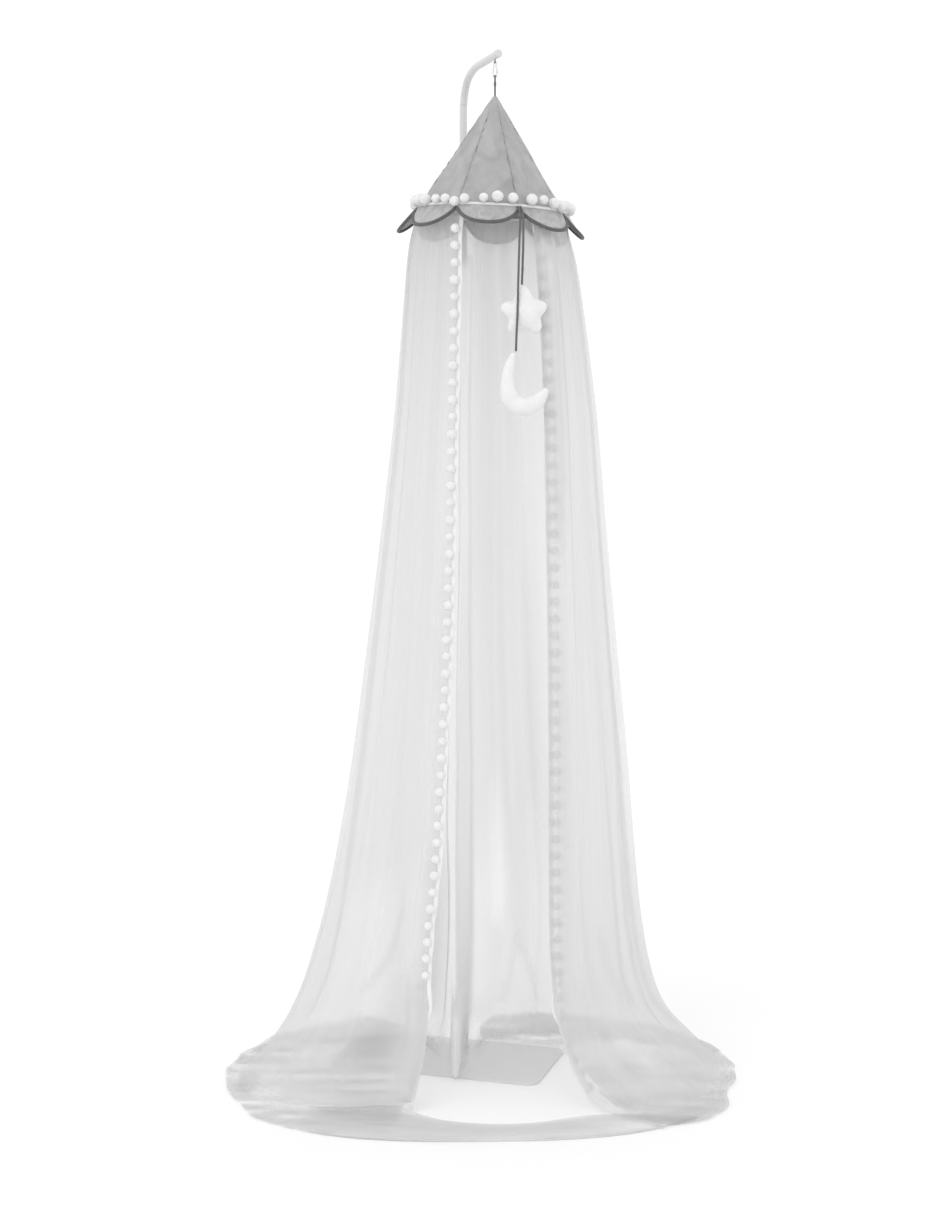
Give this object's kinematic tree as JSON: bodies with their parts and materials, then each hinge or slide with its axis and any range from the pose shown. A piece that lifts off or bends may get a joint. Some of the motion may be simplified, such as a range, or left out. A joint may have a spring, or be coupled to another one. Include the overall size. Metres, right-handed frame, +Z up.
{
  "type": "mosquito net canopy on a stand",
  "caption": "Cone roof with scalloped valance and pompoms, hung from a bent pole on a flat base, with a sheer net open at the front and spreading on the floor.",
  "frame": {"origin": "on the floor under the roof's peak, on the base plate's underside", "axes": "+Z up along the height, the front opening toward -Y, +X to the right seen from the front"},
  "size_m": [0.94, 0.6995, 1.8286],
  "materials": {
    "stand_paint": "satin light grey paint",
    "plate_paint": "satin grey paint",
    "link_plastic": "clear moulded",
    "dark_cord": "twisted cotton cord",
    "roof_cloth": "plain woven cotton",
    "binding": "dark piped edge",
    "pompom_wool": "fluffy yarn",
    "net_cloth": "sheer fine net",
    "plush": "short soft pile"
  },
  "bodies": {
    "root": {"arm_eye": "stand_paint", "base_plate": "plate_paint", "catch_button": "link_plastic", "edge_trim_1": "pompom_wool", "edge_trim_2": "pompom_wool", "end_cap": "stand_paint", "hanging_loop": "dark_cord", "lower_pole": "stand_paint", "moon": "plush", "moon_cord": "dark_cord", "net": "net_cloth", "pole_socket": "stand_paint", "ring_pompom_trim": "pompom_wool", "roof_gore_1": "roof_cloth", "roof_gore_2": "roof_cloth", "roof_gore_3": "roof_cloth", "roof_gore_4": "roof_cloth", "roof_gore_5": "roof_cloth", "roof_gore_6": "roof_cloth", "roof_gore_7": "roof_cloth", "roof_gore_8": "roof_cloth", "roof_hoop": "stand_paint", "snap_link": "link_plastic", "star": "plush", "star_cord": "dark_cord", "upper_pole": "stand_paint", "valance_flap_1": "roof_cloth", "valance_flap_2": "roof_cloth", "valance_flap_3": "roof_cloth", "valance_flap_4": "roof_cloth", "valance_flap_5": "roof_cloth", "valance_flap_6": "roof_cloth", "valance_flap_7": "roof_cloth", "valance_flap_8": "roof_cloth", "valance_piping_1": "binding", "valance_piping_2": "binding", "valance_piping_3": "binding", "valance_piping_4": "binding", "valance_piping_5": "binding", "valance_piping_6": "binding", "valance_piping_7": "binding", "valance_piping_8": "binding"}
  },
  "joints": []
}
